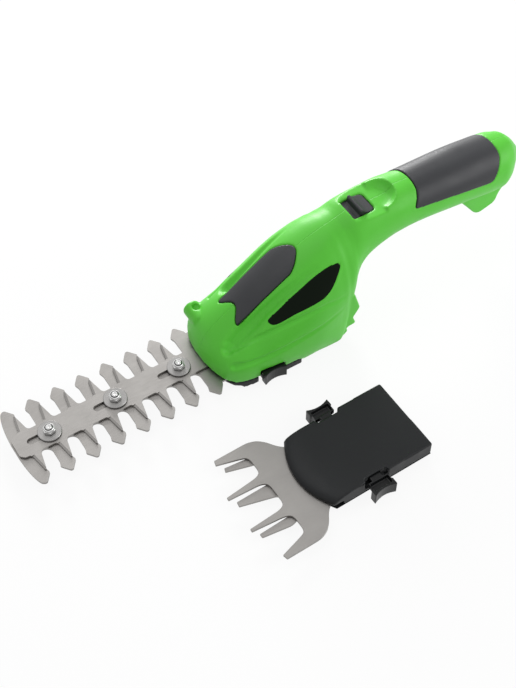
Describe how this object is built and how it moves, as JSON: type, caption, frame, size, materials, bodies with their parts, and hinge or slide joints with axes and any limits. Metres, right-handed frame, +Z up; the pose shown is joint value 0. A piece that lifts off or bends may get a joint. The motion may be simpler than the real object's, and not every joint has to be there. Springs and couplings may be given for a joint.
{
  "type": "cordless hedge trimmer",
  "caption": "Cordless hand hedge trimmer with a bulbous drive housing, slim handle, thumb switch, a docked double-sided shrub blade and a spare grass shear head.",
  "frame": {"origin": "on the smooth base of the docked cassette, on the tool's centre plane, where it rests on the floor", "axes": "+X from the blades toward the handle, -Y to the side where the spare head lies, +Z up from the floor"},
  "size_m": [0.3468, 0.1707, 0.0822],
  "materials": {
    "green_plastic": "fine satin moulded texture",
    "dark_rubber": "matte overmoulded rubber",
    "badge_black": "smooth and glossy",
    "black_plastic": "satin",
    "blade_steel": "ground and stamped",
    "zinc_steel": "zinc plated",
    "sintered_bronze": "sintered, oiled",
    "motor_can": "rolled can",
    "cell_wrap": "shrink sleeve",
    "board_laminate": "solder resist"
  },
  "bodies": {
    "trimmer": {"housing_near": "green_plastic", "housing_far": "green_plastic", "top_grip_pad": "dark_rubber", "handle_grip_insert": "dark_rubber", "badge_plate_near": "badge_black", "badge_plate_far": "badge_black", "housing_screw_nose": "zinc_steel", "housing_screw_belly": "zinc_steel", "housing_screw_neck": "zinc_steel", "housing_screw_grip": "zinc_steel", "housing_screw_end": "zinc_steel", "gearbox_plate": "black_plastic", "crank_bush": "sintered_bronze", "drive_motor": "motor_can", "battery_cell": "cell_wrap", "control_board": "board_laminate", "power_switch": "black_plastic", "charging_socket": "black_plastic"},
    "switch": {"switch_slider": "dark_rubber", "switch_knob": "black_plastic"},
    "gear": {"drive_gear": "blade_steel"},
    "pinion": {"motor_pinion": "sintered_bronze"},
    "shrub_head": {"shrub_cassette_tray": "black_plastic", "shrub_cassette_cover": "black_plastic", "shrub_fixed_blade": "blade_steel", "guide_washer_1": "zinc_steel", "guide_nut_1": "zinc_steel", "guide_bolt_1": "zinc_steel", "guide_washer_2": "zinc_steel", "guide_nut_2": "zinc_steel", "guide_bolt_2": "zinc_steel", "guide_washer_3": "zinc_steel", "guide_nut_3": "zinc_steel", "guide_bolt_3": "zinc_steel", "shrub_latch_near_spring": "zinc_steel", "shrub_latch_far_spring": "zinc_steel"},
    "shrub_cutter": {"shrub_cutter": "blade_steel"},
    "shrub_latch_near": {"shrub_latch_near": "black_plastic"},
    "shrub_latch_far": {"shrub_latch_far": "black_plastic"},
    "grass_head": {"grass_cassette_tray": "black_plastic", "grass_cassette_cover": "black_plastic", "grass_fixed_blade": "blade_steel", "grass_pivot_rivet": "zinc_steel", "grass_latch_near_spring": "zinc_steel", "grass_latch_far_spring": "zinc_steel"},
    "grass_cutter": {"grass_cutter": "blade_steel"},
    "grass_latch_near": {"grass_latch_near": "black_plastic"},
    "grass_latch_far": {"grass_latch_far": "black_plastic"}
  },
  "joints": [
    {"name": "switch_slide", "type": "slide", "parent": "trimmer", "child": "switch", "axis": [-1, 0, 0], "range_m": [0, 0.0035]},
    {"name": "gear_spin", "type": "hinge", "parent": "trimmer", "child": "gear", "pos_m": [-0.003, 0, 0.0187], "axis": [0, 0, 1], "continuous": true},
    {"name": "pinion_spin", "type": "hinge", "parent": "trimmer", "child": "pinion", "pos_m": [0.023, 0, 0.0187], "axis": [0, 0, 1], "continuous": true},
    {"name": "shrub_head_release", "type": "slide", "parent": "trimmer", "child": "shrub_head", "axis": [0, 0, -1], "range_m": [0, 0.025]},
    {"name": "shrub_cutter_stroke", "type": "slide", "parent": "shrub_head", "child": "shrub_cutter", "axis": [1, 0, 0], "range_m": [-0.0047, 0.0003]},
    {"name": "shrub_latch_near_press", "type": "slide", "parent": "shrub_head", "child": "shrub_latch_near", "axis": [0, 1, 0], "range_m": [0, 0.002], "stiffness_N_per_m": 1500, "springref_m": -0.0015, "deforming": ["shrub_latch_near_spring"]},
    {"name": "shrub_latch_far_press", "type": "slide", "parent": "shrub_head", "child": "shrub_latch_far", "axis": [0, -1, 0], "range_m": [0, 0.002], "stiffness_N_per_m": 1500, "springref_m": -0.0015, "deforming": ["shrub_latch_far_spring"]},
    {"name": "grass_head_lift", "type": "slide", "parent": "trimmer", "child": "grass_head", "axis": [0, 0, 1], "range_m": [0, 0.03]},
    {"name": "grass_cutter_swing", "type": "hinge", "parent": "grass_head", "child": "grass_cutter", "pos_m": [-0.01969, -0.09982, 0.0046], "axis": [0, 0, 1], "range_deg": [-0.1, 14.9]},
    {"name": "grass_latch_near_press", "type": "slide", "parent": "grass_head", "child": "grass_latch_near", "axis": [-0.0209, 0.9998, 0], "range_m": [0, 0.002], "stiffness_N_per_m": 1500, "springref_m": -0.0015, "deforming": ["grass_latch_near_spring"]},
    {"name": "grass_latch_far_press", "type": "slide", "parent": "grass_head", "child": "grass_latch_far", "axis": [0.0209, -0.9998, 0], "range_m": [0, 0.002], "stiffness_N_per_m": 1500, "springref_m": -0.0015, "deforming": ["grass_latch_far_spring"]}
  ],
  "couplings": [
    {"joint": "pinion_spin", "follows": "gear_spin", "ratio": -4.2}
  ]
}
